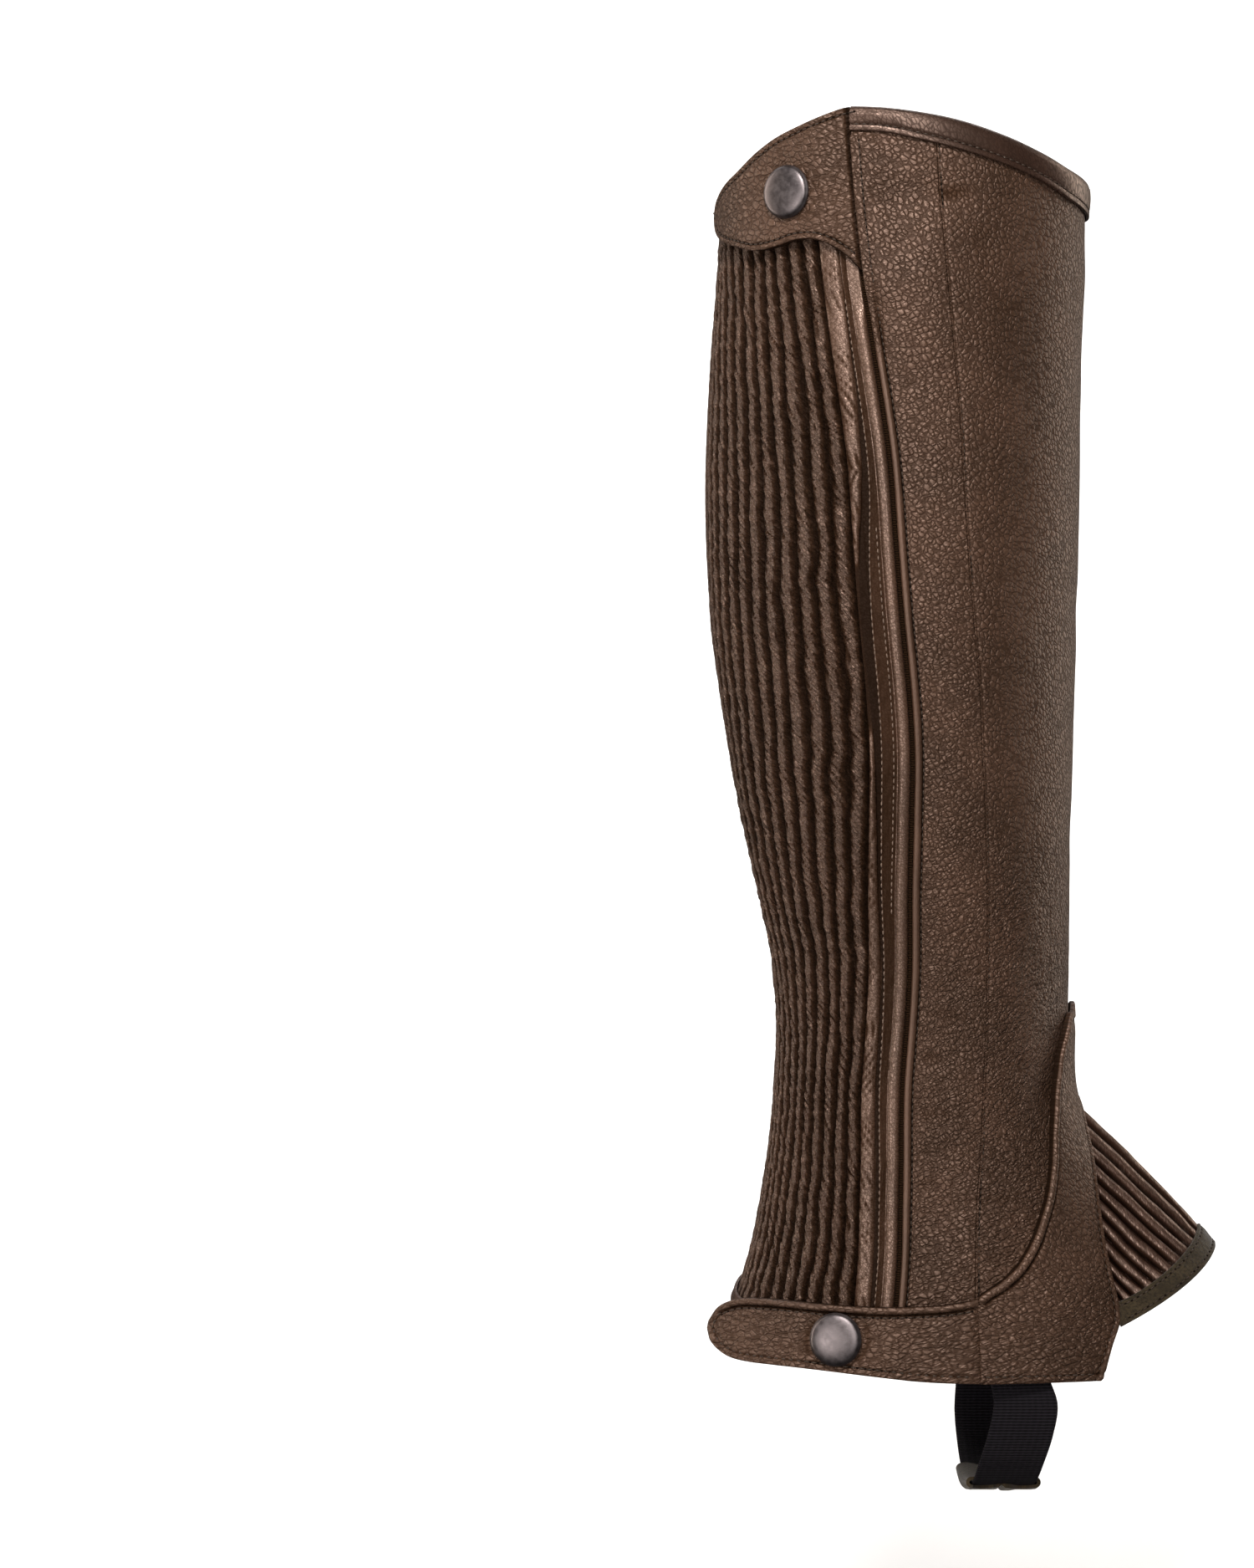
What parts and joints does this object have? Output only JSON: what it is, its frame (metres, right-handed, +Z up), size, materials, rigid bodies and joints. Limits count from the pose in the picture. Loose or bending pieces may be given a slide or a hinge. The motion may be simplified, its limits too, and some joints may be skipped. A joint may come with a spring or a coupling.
{
  "type": "half chap",
  "caption": "Hollow leather half chap in its worn form: ribbed elastic calf panel, covered zip, snap flap, ankle strap with snap, ribbed instep gusset and an elastic loop for the boot.",
  "frame": {"origin": "centre of the calf's cross-section at its widest, in the empty hollow where the wearer's leg holds the part", "axes": "+X forward to the toe, -Y to the outer side of a right leg, +Z up along the leg"},
  "size_m": [0.1681, 0.1152, 0.4468],
  "materials": {
    "pebbled_leather": "dark brown, pebbled grain, satin",
    "ribbed_leather": "dark brown, ribbed over elastic, satin",
    "binding_leather": "dark brown, folded and edge-stitched",
    "suede": "olive brown, napped",
    "elastic": "black, woven, matt",
    "zip_tape": "dark brown, woven, matt",
    "snap_metal": "brushed gunmetal"
  },
  "bodies": {
    "root": {"front_panel": "pebbled_leather", "outer_rear_panel": "pebbled_leather", "ribbed_panel": "ribbed_leather", "zip_guard": "ribbed_leather", "zip_tape": "zip_tape", "top_flap": "pebbled_leather", "top_snap": "snap_metal", "top_binding": "binding_leather", "back_binding": "binding_leather", "hem_binding": "binding_leather", "inner_patch": "pebbled_leather", "ankle_overlay": "pebbled_leather", "ankle_strap": "pebbled_leather", "ankle_snap": "snap_metal", "instep_gusset": "ribbed_leather", "gusset_band": "suede", "foot_strap": "elastic", "strap_wrap": "suede"}
  },
  "joints": []
}
